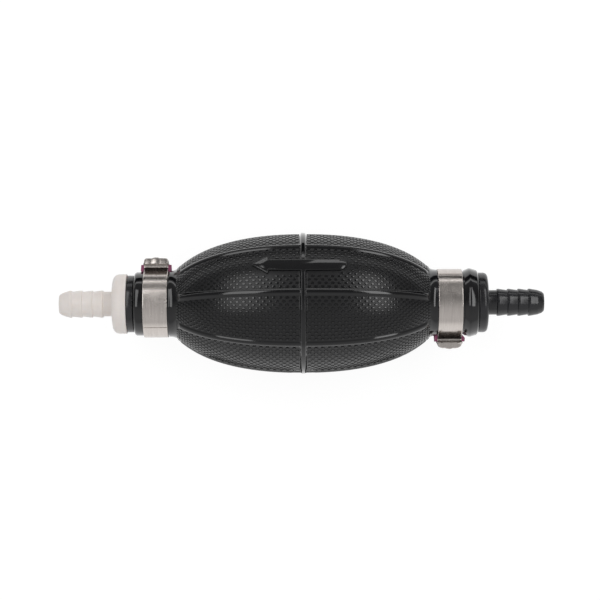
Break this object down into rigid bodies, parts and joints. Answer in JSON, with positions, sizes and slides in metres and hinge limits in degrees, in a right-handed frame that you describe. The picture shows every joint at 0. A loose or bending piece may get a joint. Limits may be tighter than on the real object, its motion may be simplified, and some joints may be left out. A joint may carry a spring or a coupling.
{
  "type": "siphon bulb pump",
  "caption": "In-line squeeze bulb pump: a ribbed rubber bulb with a flow arrow, a check valve and a hose barb at each end, and crimped ear clamps on its necks.",
  "frame": {"origin": "centre of the bulb's middle ring, on the flow axis, within a millimetre of the middle of the whole part", "axes": "+X along the flow axis towards the black inlet fitting, so the liquid runs towards -X; +Z out of the side that carries the flow arrow; +Y to the outlet clamp's ear"},
  "size_m": [0.196, 0.0572, 0.0574],
  "materials": {
    "bulb_rubber": "moulded nitrile rubber, satin, with a pip texture between smooth ribs",
    "white_nylon": "moulded natural nylon, satin",
    "black_nylon": "moulded black nylon, satin",
    "clamp_steel": "rolled stainless strip, satin",
    "shim_plastic": "moulded magenta plastic",
    "valve_acetal": "moulded natural acetal",
    "seal_rubber": "moulded nitrile rubber, smooth",
    "spring_steel": "drawn stainless wire"
  },
  "bodies": {
    "root": {"bulb": "bulb_rubber", "outlet_barb": "white_nylon", "outlet_valve_body": "black_nylon", "outlet_guide": "valve_acetal", "outlet_spring": "spring_steel", "outlet_o_ring": "seal_rubber", "outlet_clamp_band": "clamp_steel", "outlet_clamp_shim": "shim_plastic", "inlet_barb": "black_nylon", "inlet_valve_body": "black_nylon", "inlet_guide": "valve_acetal", "inlet_spring": "spring_steel", "inlet_o_ring": "seal_rubber", "inlet_clamp_band": "clamp_steel", "inlet_clamp_shim": "shim_plastic"},
    "thumb_pad": {"flow_arrow": "bulb_rubber"},
    "outlet_plunger": {"outlet_poppet": "valve_acetal", "outlet_seal": "seal_rubber"},
    "inlet_plunger": {"inlet_poppet": "valve_acetal", "inlet_seal": "seal_rubber"}
  },
  "joints": [
    {"name": "bulb_squeeze", "type": "slide", "parent": "root", "child": "thumb_pad", "axis": [0, -0.5373, -0.8434], "range_m": [0, 0.0075], "stiffness_N_per_m": 1500, "deforming": ["bulb"]},
    {"name": "outlet_valve_lift", "type": "slide", "parent": "root", "child": "outlet_plunger", "axis": [-1, 0, 0], "range_m": [0, 0.0022], "stiffness_N_per_m": 40, "springref_m": -0.003, "deforming": ["outlet_spring"]},
    {"name": "inlet_valve_lift", "type": "slide", "parent": "root", "child": "inlet_plunger", "axis": [-1, 0, 0], "range_m": [0, 0.0022], "stiffness_N_per_m": 40, "springref_m": -0.003, "deforming": ["inlet_spring"]}
  ]
}
